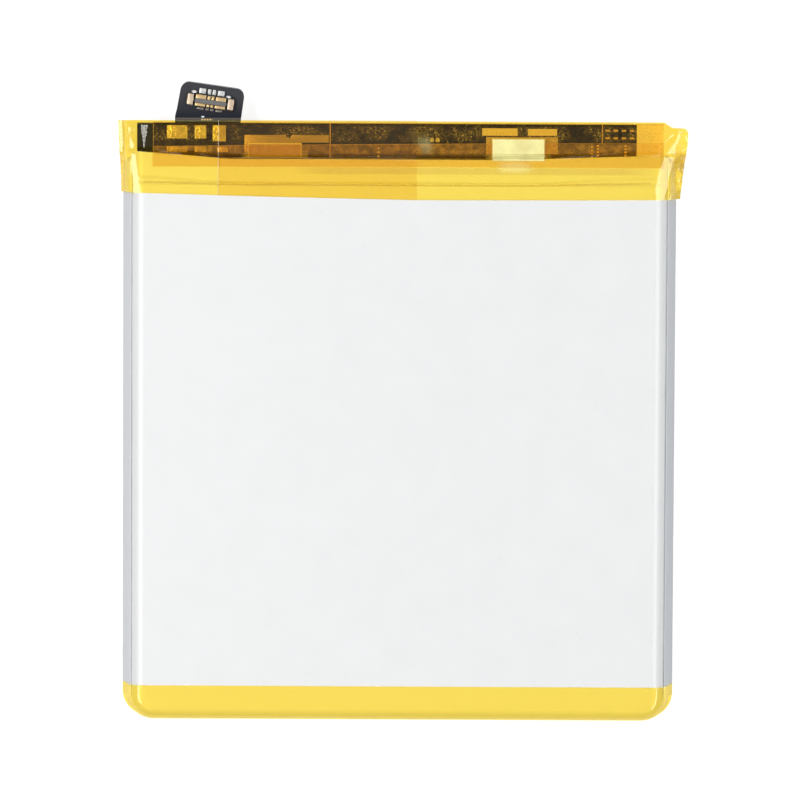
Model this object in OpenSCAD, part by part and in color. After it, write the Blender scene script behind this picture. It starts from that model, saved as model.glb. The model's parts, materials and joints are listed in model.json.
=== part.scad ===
// Pouch battery cell for a handset: a laminate pouch with an electrode stack, a protection board
// in a bay at the head, amber tapes over head and tail, and a flex tail that carries the plug.
// X runs across the cell, +Y runs from the tail to the head, +Z points out of the front face.
// The origin is the centre of the back face, which is stuck to whatever holds the cell.

/* [Cell] */
// Width over the folded side seals
cell_w = 62; // [58:0.5:66]
// Length from the tail fold to the head wall
cell_l = 62.8; // [58:0.2:70]
// Thickness from back face to front face
cell_t = 4.5; // [4.4:0.05:4.8]
// Thickness of the aluminium laminate film
film_t = 0.15; // [0.1:0.01:0.16]
// Corner radius at the tail, seen from the front
tail_corner_r = 2.3; // [1.5:0.1:3]

/* [Electrode stack] */
// Number of cathode sheets, one fewer than the anode sheets
cathode_count = 10; // [6:1:10]
// Thickness of a coated anode sheet
anode_t = 0.15; // [0.12:0.01:0.15]
// Thickness of a coated cathode sheet
cathode_t = 0.16; // [0.12:0.01:0.16]
// Thickness of the separator
separator_t = 0.03; // [0.02:0.005:0.03]

/* [Tabs] */
// Width of each cell tab
tab_w = 6; // [4:0.5:7]
// Thickness of each cell tab
tab_t = 0.1; // [0.08:0.01:0.1]
// Place of the positive tab across the cell
positive_tab_x = 13.2; // [12:0.1:14]
// Place of the negative tab across the cell
negative_tab_x = -13.95; // [-14.2:0.05:-13.5]

/* [Protection board] */
// Left end of the board
board_left = -27.5; // [-27.5:0.1:-27]
// Right end of the board
board_right = 26.4; // [26.4:0.1:27]
// Width of the board
board_w = 3.4; // [3.3:0.05:3.4]
// Thickness of the board
board_t = 0.5; // [0.4:0.05:0.6]
// Height of the board's front face above the back of the cell
board_top = 3.2; // [3.1:0.05:3.2]

/* [Flex tail and plug] */
// Width of the flex tail and of the plug's carrier
flex_w = 7.1; // [6.8:0.1:7.4]
// Thickness of the flexible circuit
flex_t = 0.14; // [0.1:0.01:0.16]
// Length of the carrier past the bend
carrier_l = 3.7; // [3.5:0.1:4.2]
// How far the carrier is turned in its plane
carrier_turn = -8; // [-10:0.5:-4]
// Length of the plug over its anchors
plug_l = 5.2; // [5:0.1:5.4]
// Width of the plug's housing
plug_w = 1.5; // [1.3:0.1:1.6]
// Height of the plug's housing
plug_h = 0.6; // [0.5:0.05:0.65]

/* [Tapes] */
// Thickness of each amber tape
tape_t = 0.06; // [0.04:0.01:0.06]
// Depth of the head tape on the front and back faces
head_tape_depth = 4.1; // [3.5:0.1:5]
// Depth of the tail tape on the front and back faces
tail_tape_depth = 3.8; // [3:0.1:5]

/* [Hidden] */

gap = 0.01;              // clearance between pieces that lie on each other
slit = 0.02;             // clearance round a piece that passes through another
tail_y = -31.5;
head_y = tail_y + cell_l;
half_w = cell_w / 2;
bay_l = 4.2;             // depth of the board's bay past the head wall
end_y = head_y + bay_l;

// Cup section across the cell
base_half = half_w - 0.45;
shoulder_half = half_w - 1.15;
shoulder_z = cell_t - 0.5;
face_half = half_w - 1.55;
corner_x = half_w - tail_corner_r - 0.4;
corner_y = tail_y + tail_corner_r;
seal_t = 0.3;            // the two films of a side seal
seal_top = cell_t - 0.55;

// Head seal, folded up along the head wall
flange_t = 0.3;
flange_outer = head_y + flange_t;
flange_back = flange_outer + film_t;
flange_top = board_top - board_t - 0.1;
flange_half = half_w - 2.5;
tab_seam_y = flange_outer - 0.09;    // middle of the tab inside the head seal
tab_seam_z = film_t + 0.09;
tab_slot_w = tab_w + 1.3;
sealant_t = 0.03;

// Electrode stack
stack_bottom = film_t + 0.06;
stack_pitch = anode_t + cathode_t + 2 * separator_t;
stack_half = half_w - 2.4;
stack_tail = tail_y + 1.6;
stack_head = head_y - 3.1;
flag_l = 0.4;
bundle_head = head_y - 0.7;
bundle_w = tab_w - 1;
tab_xs = [negative_tab_x, positive_tab_x];
negative_reach = 1.2;
positive_reach = 1.85;

// Board bay
board_y0 = flange_back + 0.1;
board_y1 = board_y0 + board_w;
board_near = head_y + 0.12;          // the board reaches over the head seal between the tabs
board_bottom = board_top - board_t;
spacer_top = board_bottom - 1.1;
chip_h = 0.3;            // tallest piece on the board's front
plate_t = 0.05;
wrap_z = board_top + chip_h + gap;
wrap_y = board_y1 + 0.02;
wrap_right = half_w - 1.6;
slope_y = end_y - 0.6;   // where the tapes begin to turn down towards the end wall
slope_drop = 0.28;

// Flex tail and its bend
flex_z = board_top - board_t / 2;
flex_left = -25.1;
flex_exit_w = flex_w + 0.2;
bend_y = end_y + 0.4;
bend_clear = 0.14;       // half the gap that the bend spans
carrier_x = -21.3;       // middle of the carrier at the bend
plug_x = -21.13;
plug_y = 37.6;
carrier_r = 0.9;
stiffener_t = 0.2;

// Points of a round stretch about c, from angle a0 to a1
function arc(c, r, a0, a1, n = 6) =
    [for (i = [0:n]) c + r * [cos(a0 + (a1 - a0) * i / n), sin(a0 + (a1 - a0) * i / n)]];

// A shape given by its right half, made whole about the vertical axis
function both_sides(right) =
    concat(right, [for (i = [len(right) - 1:-1:0]) [-right[i][0], right[i][1]]]);

function left_normal(a, b) = [a[1] - b[1], b[0] - a[0]] / norm(b - a);

// Point i of a path, moved by s to the path's left, with its corner kept sharp
function beside(p, i, s) =
    let (last = len(p) - 1)
    i == 0 ? p[0] + s * left_normal(p[0], p[1]) :
    i == last ? p[last] + s * left_normal(p[last - 1], p[last]) :
    let (a = left_normal(p[i - 1], p[i]), b = left_normal(p[i], p[i + 1]))
    p[i] + s * (a + b) / (1 + a * b);

function line_beside(p, s) = [for (i = [0:len(p) - 1]) beside(p, i, s)];

function reversed(p) = [for (i = [len(p) - 1:-1:0]) p[i]];

// Outline of a strip that follows a path, between two distances to its left
function strip(p, s0, s1) = concat(line_beside(p, s0), reversed(line_beside(p, s1)));

// A shape in the YZ plane, drawn out along X
module along_x(x0, x1) {
    translate([x0, 0, 0]) rotate([90, 0, 90]) linear_extrude(x1 - x0) children();
}

// A shape in the XZ plane, drawn out along Y
module along_y(y0, y1) {
    translate([0, y1, 0]) rotate([90, 0, 0]) linear_extrude(y1 - y0) children();
}

module block(low, high) {
    translate(low) cube(high - low);
}

// ---- Cell ----

// The cup's section across the cell, drawn in by d
function cup_section(d) = both_sides(concat(
    [[base_half - d, 0], [base_half - d, 0.6]],
    [[shoulder_half - d, shoulder_z - d]],
    arc([face_half - 0.1 - d, cell_t - 0.35 - d], 0.35, 45, 90, 3)));

// The cup's section along the cell, drawn in by d
function cup_profile(d) = concat(
    [[head_y - d, 0]],
    arc([head_y - 0.4 - d, cell_t - 0.4 - d], 0.4, 0, 90, 4),
    arc([tail_y + 1.3 + d, cell_t - 1.3 - d], 1.3, 90, 180, 6),
    [[tail_y + d, 0.5], [tail_y + 0.4 + d, 0]]);

// The cell's outline from the front, grown by g
function cell_outline(g) = concat(
    [[half_w + g, head_y], [-half_w - g, head_y]],
    arc([-half_w + tail_corner_r, tail_y + tail_corner_r], tail_corner_r + g, 180, 270),
    arc([half_w - tail_corner_r, tail_y + tail_corner_r], tail_corner_r + g, 270, 360));

module cup_solid(d) {
    intersection() {
        along_y(tail_y, head_y) polygon(cup_section(d));
        along_x(-half_w, half_w) polygon(cup_profile(d));
        translate([0, 0, -1]) linear_extrude(cell_t + 2)
            polygon(concat(
                [[half_w, head_y + 1], [-half_w, head_y + 1]],
                arc([-corner_x, corner_y], tail_corner_r - d, 180, 270),
                arc([corner_x, corner_y], tail_corner_r - d, 270, 360)));
    }
}

// Room for the tabs and their sealant, through the foot of the head wall and up the seal
module tab_slots() {
    for (x = tab_xs) {
        x0 = x - tab_slot_w / 2;
        x1 = x + tab_slot_w / 2;
        block([x0, head_y - 1, film_t - 1], [x1, flange_outer + 1, film_t + 0.18]);
        block([x0, flange_outer - 0.18, 0], [x1, flange_outer + 1, cell_t]);
    }
}

module pouch_cup() {
    color("gainsboro") difference() {
        union() {
            difference() {
                cup_solid(0);
                cup_solid(film_t);
                block([-cell_w, tail_y - 1, -1], [cell_w, head_y + 1, film_t + gap]);
            }
            block([-flange_half, head_y - film_t / 2, film_t + gap],
                [flange_half, flange_outer, flange_top]);
        }
        tab_slots();
    }
}

module pouch_back_film() {
    color("gainsboro") difference() {
        union() {
            intersection() {
                block([-base_half, tail_y + 0.4, 0], [base_half, flange_back, film_t]);
                linear_extrude(film_t) polygon(concat(
                    [[half_w, flange_back], [-half_w, flange_back]],
                    arc([-corner_x, corner_y], tail_corner_r, 180, 270),
                    arc([corner_x, corner_y], tail_corner_r, 270, 360)));
            }
            block([-flange_half, flange_outer + gap, 0], [flange_half, flange_back, flange_top]);
        }
        block([-cell_w, head_y - head_tape_depth, -1], [cell_w, end_y, tape_t + gap]);
        block([-cell_w, tail_y - 1, -1], [cell_w, tail_y + tail_tape_depth, tape_t + gap]);
        for (side = [-1, 1])
            translate([side * (base_half + flange_half) / 2, flange_outer, 0])
                cube([base_half - flange_half, 2 * (flange_outer - head_y), 1], center = true);
    }
}

// A side seal: the two films folded up along the cup's side
module side_seal(side) {
    section = [
        [base_half + gap, tape_t + gap], [base_half + gap, 0.62], [shoulder_half + gap, shoulder_z],
        [shoulder_half + seal_t, seal_top], [half_w, 0.8], [half_w, 0.2], [half_w - 0.1, tape_t + gap]];
    color("lightgray") intersection() {
        along_y(tail_y + 0.2, head_y - 0.3) polygon([for (p = section) [side * p[0], p[1]]]);
        linear_extrude(cell_t) polygon(cell_outline(0));
    }
}
module left_side_seal() { side_seal(-1); }
module right_side_seal() { side_seal(1); }

// ---- Electrode stack ----

function anode_z(k) = stack_bottom + separator_t + k * stack_pitch;
function cathode_z(k) = anode_z(k) + anode_t + separator_t;

// One sheet with its bare foil flag at the head
module sheet(inset, z, t, flag_x) {
    block([-stack_half + inset, stack_tail + inset, z], [stack_half - inset, stack_head - inset, z + t]);
    block([flag_x - bundle_w / 2, stack_head - inset - 1, z],
        [flag_x + bundle_w / 2, stack_head + flag_l, z + t]);
}

module anode_sheets() {
    color("dimgray") for (k = [0:cathode_count]) sheet(0, anode_z(k), anode_t - gap, negative_tab_x);
}

module cathode_sheets() {
    color("black") for (k = [0:cathode_count - 1]) sheet(0.4, cathode_z(k), cathode_t - gap, positive_tab_x);
}

// One long web, laid between the sheets in a zigzag
module separator() {
    web_half = stack_half + 0.15;
    web_count = 2 * cathode_count + 1;
    function web_z(i) = i % 2 == 0
        ? anode_z(i / 2) + anode_t
        : cathode_z((i - 1) / 2) + cathode_t;
    color("white") for (i = [0:web_count - 2]) {
        side = i % 2 == 0 ? 1 : -1;
        z0 = web_z(i);
        z1 = web_z(i + 1);
        block([-web_half, stack_tail - 0.2, z0], [web_half, stack_head + 0.2, z0 + separator_t - gap]);
        block([side > 0 ? web_half - separator_t : -web_half, stack_tail - 0.2, z0],
            [side > 0 ? web_half : -web_half + separator_t, stack_head + 0.2, z1 + separator_t - gap]);
    }
}

// Short tapes that hold the stack together over its two long edges
module stack_fixing_tapes() {
    reach = 6;
    fix_t = 0.04;
    x = stack_half + 0.2;
    z0 = stack_bottom - gap;
    z1 = anode_z(cathode_count) + anode_t + separator_t + gap;
    color("seagreen") for (side = [-1, 1]) for (y = [-16, 12])
        along_y(y - 4, y + 4) polygon([for (p = strip(
            [[x - reach, z0], [x, z0], [x, z1], [x - reach, z1]], -fix_t, 0)) [side * p[0], p[1]]]);
}

// The foils of one kind, pressed together towards their tab
module foil_bundle(x) {
    z0 = tab_seam_z + tab_t / 2;
    top = cathode_z(cathode_count - 1) + cathode_t;
    y0 = stack_head + flag_l + gap;
    along_x(x - bundle_w / 2, x + bundle_w / 2)
        polygon([[y0, z0], [y0, top], [y0 + 0.3, top], [bundle_head, z0 + 0.3], [bundle_head, z0]]);
}
module anode_foil_bundle() { color("peru") foil_bundle(negative_tab_x); }
module cathode_foil_bundle() { color("silver") foil_bundle(positive_tab_x); }

// A tab: in from the bundle, up the head seal, and out over the board's front by some reach
module tab(x, reach) {
    front_z = board_top + plate_t + tab_t / 2 + gap;
    path = [[stack_head + 1, tab_seam_z], [tab_seam_y, tab_seam_z], [tab_seam_y, front_z],
        [board_y0 + reach, front_z]];
    along_x(x - tab_w / 2, x + tab_w / 2) polygon(strip(path, -tab_t / 2, tab_t / 2 - gap));
}
module negative_tab() { color("burlywood") tab(negative_tab_x, negative_reach); }
module positive_tab() { color("lightgoldenrodyellow") tab(positive_tab_x, positive_reach); }

// Hot-melt films that seal each tab into the head seal
module tab_sealants() {
    color("aliceblue") for (x = tab_xs) for (side = [-1, 1])
        translate([x, tab_seam_y + side * (tab_t / 2 + gap + sealant_t / 2), flange_top / 2 + 0.4])
            cube([tab_w + 1, sealant_t, flange_top - 0.45], center = true);
}

// ---- Protection board ----

module protection_board() {
    color("darkslategray") difference() {
        block([board_left, board_near, board_bottom], [board_right, board_y1, board_top]);
        for (x = tab_xs)
            block([x - tab_slot_w / 2, board_near - 1, 0], [x + tab_slot_w / 2, board_y0, cell_t]);
        block([flex_left - slit, board_y1 - 1.8, flex_z - flex_t / 2 - slit],
            [flex_left + flex_w + slit, board_y1 + 1, flex_z + flex_t / 2 + slit]);
    }
}

// Black strip that carries the board, with an upright block at its left end
module board_spacer() {
    left = -half_w + 1.7;
    color("black") {
        block([left, board_y0, 0.17], [board_right, board_y1 - 0.1, spacer_top]);
        along_x(left, board_left - 0.12) polygon(concat(
            [[board_y0, board_top + chip_h], [board_y0, 0.17], [board_y1, 0.17]],
            arc([board_y1 - 0.5, board_top + chip_h - 0.5], 0.5, 0, 90)));
    }
}

// A thin land on the board's front: left, near, right and far edges
module land(box, h) {
    block([box[0], box[1], board_top + gap], [box[2], box[3], board_top + gap + h]);
}

far_y = board_y1 - 0.25;
module weld_plates() {
    color("goldenrod") {
        difference() {
            land([negative_tab_x - 3.4, board_y0 + 0.1, negative_tab_x + 6, far_y - 1.05], plate_t - 2 * gap);
            block([negative_tab_x + 2.8, board_y0, 0], [negative_tab_x + 7, far_y - 1.9, cell_t]);
            translate([negative_tab_x + 1.55, far_y - 1.05, 0]) cylinder(r = 0.33, h = cell_t, $fn = 48);
        }
        land([positive_tab_x - 3.6, board_y0 + 0.1, positive_tab_x + 4.4, far_y - 1.15], plate_t - 2 * gap);
    }
}

module solder_lands() {
    color("gold") {
        land([-26, far_y - 1.5, -23.7, far_y], 0.12);
        land([-22.9, far_y - 1.5, -21.6, far_y], 0.12);
        land([-20.9, far_y - 1.8, -19.4, far_y], 0.12);
        for (box = [[-26, -23.7], [-22.9, -21.6], [-20.4, -19.2]])
            land([box[0], board_y0 + 0.15, box[1], board_y0 + 0.8], 0.12);
        for (x = [3.55, 4.2]) land([x - 0.2, far_y - 1.75, x + 0.2, far_y - 1.3], 0.1);
    }
}

module test_pads() {
    color("gold") {
        land([9.15, far_y - 1.02, 13.1, far_y - 0.2], plate_t);
        land([14.25, far_y - 1, 17.5, far_y - 0.25], plate_t);
        for (column = [[-2.4, 3, 0.45], [21.4, 4, 0.38]]) for (k = [0:column[1] - 1])
            translate([column[0], board_near + 0.2 + column[2] * k, board_top + gap])
                cylinder(r = 0.12, h = plate_t, $fn = 48);
    }
}

resistor_xs = [23.15, 24.05, 24.95, 25.85];
resistor_y = far_y - 0.82;
module front_resistors() {
    color("black") for (x = resistor_xs)
        land([x - 0.24, resistor_y - 0.3, x + 0.24, resistor_y + 0.3], chip_h - 2 * gap);
}
module resistor_terminals() {
    color("gold") for (x = resistor_xs) for (y = [resistor_y - 0.42, resistor_y + 0.42])
        land([x - 0.25, y - 0.11, x + 0.25, y + 0.11], chip_h - 2 * gap);
}

module gauge_chip() {
    color("black") land([21.9, board_near + 0.25, 25.3, board_near + 1.6], chip_h - 2 * gap);
}
module front_diode() {
    color("black") land([19.4, board_near + 0.3, 20.6, board_near + 1.7], chip_h - 2 * gap);
}
module filter_chip() {
    color("black") land([0.6, far_y - 1.75, 3.05, far_y - 0.55], chip_h - 2 * gap);
}

// A part on the board's underside, by its middle and size
module under(x, y, size) {
    translate([x - size[0] / 2, y - size[1] / 2, board_bottom - gap - size[2]]) cube(size);
}
board_mid = (board_y0 + board_y1) / 2;
module mosfets() { color("black") for (x = [-4.2, 1.2]) under(x, board_mid, [4.4, 2.2, 0.7]); }
module protection_chips() { color("black") for (x = [-9, 6]) under(x, board_mid, [2, 1.8, 0.6]); }
module capacitors() {
    color("tan") for (x = [-11.4, -7.2, 4.1, 8]) for (side = [-1, 1])
        under(x, board_mid + side * 0.75, [0.5, 1, 0.5]);
}
module sense_resistor() { color("black") under(10.6, board_mid, [3.2, 1.6, 0.55]); }
module thermistor() { color("saddlebrown") under(19, board_mid, [1, 0.5, 0.5]); }
module fuse() { color("ivory") under(15, board_mid, [1.6, 0.8, 0.5]); }

// ---- Tapes ----

// Opening in the end wall that the flex tail comes out of
module flex_exit() {
    block([flex_left - 0.15, end_y - 1.5, flex_z - 0.25],
        [flex_left + flex_exit_w + 0.1, end_y + 1, flex_z + 0.25]);
}

// Inner faces of the three tapes in the YZ plane, from the cell's face round the bay
wrap_path = [
    [board_y0, wrap_z], [slope_y - 0.05, wrap_z], [wrap_y, wrap_z - slope_drop + 0.05],
    [wrap_y, tape_t * 2 + 0.04], [board_y0, tape_t * 2 + 0.04]];
hold_path = [
    [head_y - 0.85, cell_t + gap], [head_y - 0.19, cell_t + gap],
    [board_y0 - 0.02, wrap_z + tape_t + gap], [board_y0 + 1.05, wrap_z + tape_t + gap]];
head_path = concat(
    [[head_y - head_tape_depth, cell_t + gap], [head_y - 1, cell_t + gap]],
    [[head_y - 0.9, cell_t + tape_t + 2 * gap]],
    [beside(hold_path, 1, tape_t + gap), beside(hold_path, 2, tape_t + gap)],
    [[slope_y, wrap_z + 2 * tape_t + 2 * gap], [end_y - tape_t, wrap_z + 2 * tape_t - slope_drop],
    [end_y - tape_t, tape_t], [head_y - head_tape_depth, tape_t]]);

module board_wrap_tape() {
    color("orange") difference() {
        along_x(board_left - 0.05, wrap_right) polygon(strip(wrap_path, 0, tape_t));
        flex_exit();
    }
}

module board_hold_tape() {
    color("orange") along_x(board_left - 0.05, wrap_right) polygon(strip(hold_path, 0, tape_t));
}

// Head tape from the front, drawn in by d: wider at the end, where its two faces stick together
function head_tape_outline(d) =
    let (low_y = head_y - head_tape_depth - 2 * d)
    [[-half_w - 0.15 + d, low_y], [half_w + 0.35 - d, low_y],
    [half_w + 1.25 - d, end_y - 1 - d], [half_w + 0.85 - d, end_y - 0.6 - d],
    [wrap_right + 0.9 - d, end_y - 0.6 - d], [wrap_right + 0.45 - d, end_y - d],
    [-half_w - 0.5 + d, end_y - d]];

// A sock over the cell's head, open towards the tail
module head_tape() {
    mouth_y = head_y - head_tape_depth - 1;
    inner = concat(head_path, [[mouth_y, tape_t], [mouth_y, cell_t + gap]]);
    color("gold") difference() {
        intersection() {
            along_x(-cell_w, cell_w) polygon(line_beside(head_path, tape_t));
            linear_extrude(cell_t + 1) polygon(head_tape_outline(0));
        }
        intersection() {
            along_x(-cell_w, cell_w) polygon(inner);
            linear_extrude(cell_t + 1) polygon(head_tape_outline(tape_t));
        }
        flex_exit();
    }
}

module head_patch_tape() {
    patch_path = concat([for (i = [0:len(head_path) - 3]) head_path[i]], [[end_y - tape_t, 0.4]]);
    color("orange") difference() {
        along_x(-20.25, 1.9) polygon(strip(patch_path, tape_t + gap, 2 * tape_t));
        flex_exit();
    }
}

// A cap over the tail, from the back face round to the front face
module tail_form(g) {
    section = both_sides([[half_w + g, 0], [half_w + g, 0.8],
        [shoulder_half + seal_t + g, seal_top + 0.1 + g / 2], [face_half + 0.25, cell_t + g]]);
    profile = concat([[tail_y + tail_tape_depth, tape_t - g], [tail_y + tail_tape_depth, cell_t + g + gap]],
        arc([tail_y + 1.3, cell_t - 1.3 + gap], 1.3 + g, 90, 180, 6),
        [[tail_y - g, 0.5], [tail_y + 0.33 - g / 2, tape_t - g]]);
    intersection() {
        along_y(tail_y - 1, tail_y + tail_tape_depth + 1) polygon(section);
        along_x(-cell_w, cell_w) polygon(profile);
        linear_extrude(cell_t + 1) polygon(cell_outline(g));
    }
}

module tail_tape() {
    color("gold") difference() {
        tail_form(tape_t);
        union() {
            tail_form(0);
            translate([0, 0.5, 0]) tail_form(0);
        }
    }
}

// ---- Flex tail and plug ----

module flex_tail() {
    color("black") block([flex_left, board_y1 - 1.7, flex_z - flex_t / 2],
        [flex_left + flex_w, bend_y - bend_clear, flex_z + flex_t / 2]);
}

// The carrier's outline, cut straight along the bend, at least d past it and drawn in by e
module carrier_outline(d, e) {
    intersection() {
        translate([carrier_x, bend_y]) rotate(carrier_turn) {
            translate([-flex_w / 2 + e, -3]) square([flex_w - 2 * e, carrier_l + 3 - carrier_r]);
            translate([-flex_w / 2 + carrier_r, 0]) square([flex_w - 2 * carrier_r, carrier_l - e]);
            for (side = [-1, 1])
                translate([side * (flex_w / 2 - carrier_r), carrier_l - carrier_r])
                    circle(r = carrier_r - e, $fn = 48);
        }
        translate([carrier_x - flex_w, bend_y + d]) square([2 * flex_w, 2 * carrier_l]);
    }
}

module flex_carrier() {
    color("black") translate([0, 0, flex_z - flex_t / 2]) linear_extrude(flex_t)
        carrier_outline(bend_clear, 0);
}

module carrier_stiffener() {
    color("dimgray") translate([0, 0, flex_z - flex_t / 2 - gap - stiffener_t]) linear_extrude(stiffener_t)
        carrier_outline(0.25, 0.05);
}

// Puts a piece on the carrier in the plug's own frame: u along the plug, v across, w up
module on_plug() {
    translate([plug_x, plug_y, flex_z + flex_t / 2 + gap]) rotate([0, 0, carrier_turn]) children();
}
module plug_block(u0, v0, w0, u1, v1, w1) { block([u0, v0, w0], [u1, v1, w1]); }

inner_l = 3.7;           // housing between the two anchors
contact_t = 0.12;
power_u = 1.15;
signal_u = 0.24;
power_w = 1.15;
signal_w = 0.3;
trough_v = plug_w / 2 - 0.2;

module plug_housing() {
    color("black") on_plug() difference() {
        plug_block(-plug_l / 2 + 0.1, -plug_w / 2, 0, plug_l / 2 - 0.1, plug_w / 2, plug_h);
        for (side = [-1, 1]) {
            plug_block(-inner_l / 2, side > 0 ? 0.18 : -trough_v, 0.2,
                inner_l / 2, side > 0 ? trough_v : -0.18, 2);
            for (u = [-power_u, power_u]) contact_room(u, power_w, side);
            for (u = [-signal_u, signal_u]) contact_room(u, signal_w, side);
            for (end = [-1, 1]) mirror([end > 0 ? 0 : 1, 0, 0])
                plug_block(inner_l / 2 + 0.05, -2, plug_h - 0.11, 3, 2, 2);
        }
    }
}

// A contact: a foot on the carrier, up the trough's wall and over its rim
function contact_path(side) = [
    [side * 0.2, 0.2 + contact_t / 2], [side * (trough_v - contact_t / 2), 0.2 + contact_t / 2],
    [side * (trough_v - contact_t / 2), plug_h - contact_t / 2],
    [side * (plug_w / 2), plug_h - contact_t / 2]];
module contact(u, w, side) {
    p = contact_path(side);
    along_x(u - w / 2, u + w / 2)
        polygon(strip(p, -contact_t / 2 + gap / 2, contact_t / 2 - gap / 2));
}
module contact_room(u, w, side) {
    v0 = side > 0 ? trough_v - 0.01 : -plug_w / 2 - 0.1;
    v1 = side > 0 ? plug_w / 2 + 0.1 : -trough_v + 0.01;
    plug_block(u - w / 2 - 0.01, v0, plug_h - contact_t - 0.01, u + w / 2 + 0.01, v1, 2);
}

module power_contacts() {
    color("gold") on_plug() for (u = [-power_u, power_u]) for (side = [-1, 1]) contact(u, power_w, side);
}
module signal_contacts() {
    color("gold") on_plug() for (u = [-signal_u, signal_u]) for (side = [-1, 1]) contact(u, signal_w, side);
}

// Metal caps over the two ends of the plug, that take the pull
module plug_anchors() {
    cap_t = 0.1;
    color("tan") on_plug() for (end = [-1, 1]) mirror([end > 0 ? 0 : 1, 0, 0]) {
        plug_block(inner_l / 2 + 0.08, -0.6, plug_h - cap_t, plug_l / 2, 0.6, plug_h);
        plug_block(plug_l / 2 - 0.09, -0.6, 0, plug_l / 2, 0.6, plug_h);
    }
}

// Soldered feet beside the housing
module plug_leads() {
    color("silver") on_plug() for (side = [-1, 1]) {
        reach = side > 0 ? 0.6 : 0.25;
        for (u = [-1, 1]) for (lead = [[1.05, 0.75], [0.26, 0.36]]) {
            v0 = side > 0 ? plug_w / 2 + gap : -plug_w / 2 - gap - reach;
            plug_block(u * lead[0] - lead[1] / 2, v0, 0, u * lead[0] + lead[1] / 2, v0 + reach, 0.16);
        }
    }
}

pouch_cup();
pouch_back_film();
left_side_seal();
right_side_seal();
anode_sheets();
cathode_sheets();
separator();
stack_fixing_tapes();
anode_foil_bundle();
cathode_foil_bundle();
negative_tab();
positive_tab();
tab_sealants();
protection_board();
board_spacer();
weld_plates();
solder_lands();
test_pads();
front_resistors();
resistor_terminals();
gauge_chip();
front_diode();
filter_chip();
mosfets();
protection_chips();
capacitors();
sense_resistor();
thermistor();
fuse();
board_wrap_tape();
board_hold_tape();
head_tape();
head_patch_tape();
tail_tape();
flex_tail();
flex_carrier();
carrier_stiffener();
plug_housing();
power_contacts();
signal_contacts();
plug_anchors();
plug_leads();
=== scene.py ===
import json
import math

import bpy
from mathutils import Matrix, Vector, noise


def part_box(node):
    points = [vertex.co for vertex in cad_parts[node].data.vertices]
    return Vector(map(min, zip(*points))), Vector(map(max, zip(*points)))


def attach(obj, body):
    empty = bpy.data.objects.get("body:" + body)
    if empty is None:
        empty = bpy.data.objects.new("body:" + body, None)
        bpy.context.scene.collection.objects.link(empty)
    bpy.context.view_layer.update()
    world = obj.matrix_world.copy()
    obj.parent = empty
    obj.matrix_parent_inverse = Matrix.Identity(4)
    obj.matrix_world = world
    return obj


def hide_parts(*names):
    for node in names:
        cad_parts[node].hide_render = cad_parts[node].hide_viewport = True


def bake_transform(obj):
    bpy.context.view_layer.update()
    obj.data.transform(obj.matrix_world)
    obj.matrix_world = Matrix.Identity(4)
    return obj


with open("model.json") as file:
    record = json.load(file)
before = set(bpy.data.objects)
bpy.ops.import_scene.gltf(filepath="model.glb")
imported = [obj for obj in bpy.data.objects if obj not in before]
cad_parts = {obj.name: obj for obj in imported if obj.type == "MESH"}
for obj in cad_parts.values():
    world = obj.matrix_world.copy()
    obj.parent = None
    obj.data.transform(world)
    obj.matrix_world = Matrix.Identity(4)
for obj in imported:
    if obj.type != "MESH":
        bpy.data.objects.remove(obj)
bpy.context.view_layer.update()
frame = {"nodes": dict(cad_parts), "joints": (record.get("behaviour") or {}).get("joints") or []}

mm = 0.001


# ---- places that come from the CAD parts, in millimetres ----

def boxOf(node):
    low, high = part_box(node)
    return low / mm, high / mm


cupLow, cupHigh = boxOf("pouch_cup")
sealHigh = boxOf("right_side_seal")[1]
stackHigh = boxOf("anode_sheets")[1]
boardLow, boardHigh = boxOf("protection_board")
wrapLow, wrapHigh = boxOf("board_wrap_tape")
holdLow, holdHigh = boxOf("board_hold_tape")
headHigh = boxOf("head_tape")[1]
patchLow, patchHigh = boxOf("head_patch_tape")
tailLow, tailHigh = boxOf("tail_tape")
flexLow, flexHigh = boxOf("flex_tail")
print("frame read")


# ---- hands: small helpers for modelling with operators ----

def letGo():
    if bpy.context.object and bpy.context.object.mode != "OBJECT":
        bpy.ops.object.mode_set(mode="OBJECT")
    bpy.ops.object.select_all(action="DESELECT")


def hold(piece):
    letGo()
    piece.select_set(True)
    bpy.context.view_layer.objects.active = piece


def newBox(name, low, high):  # a cube at its size and place
    letGo()
    low, high = Vector(low) * mm, Vector(high) * mm
    bpy.ops.mesh.primitive_cube_add(size=1, location=(low + high) / 2)
    piece = bpy.context.object
    piece.name = piece.data.name = name
    piece.scale = high - low
    bpy.ops.object.transform_apply(location=True, rotation=True, scale=True)
    return piece


def newSheet(name, across, along):  # a flat grid, to be laid by a rule
    letGo()
    bpy.ops.mesh.primitive_grid_add(x_subdivisions=across, y_subdivisions=along, size=1)
    piece = bpy.context.object
    piece.name = piece.data.name = name
    return piece


def pick(piece, kind, test):  # selects by place or normal, in millimetres
    hold(piece)
    bpy.ops.object.mode_set(mode="EDIT")
    bpy.ops.mesh.select_mode(type=kind)
    bpy.ops.mesh.select_all(action="DESELECT")
    bpy.ops.object.mode_set(mode="OBJECT")
    mesh = piece.data
    if kind == "VERT":
        for vertex in mesh.vertices:
            vertex.select = test(vertex.co / mm)
    elif kind == "EDGE":
        for edge in mesh.edges:
            a, b = (mesh.vertices[i].co / mm for i in edge.vertices)
            edge.select = test(a, b)
    else:
        for face in mesh.polygons:
            face.select = test(face.center / mm, face.normal)
    bpy.ops.object.mode_set(mode="EDIT")


def bevelPicked(width, segments):
    bpy.ops.mesh.bevel(offset=width * mm, segments=segments, affect="EDGES")
    bpy.ops.object.mode_set(mode="OBJECT")


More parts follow.
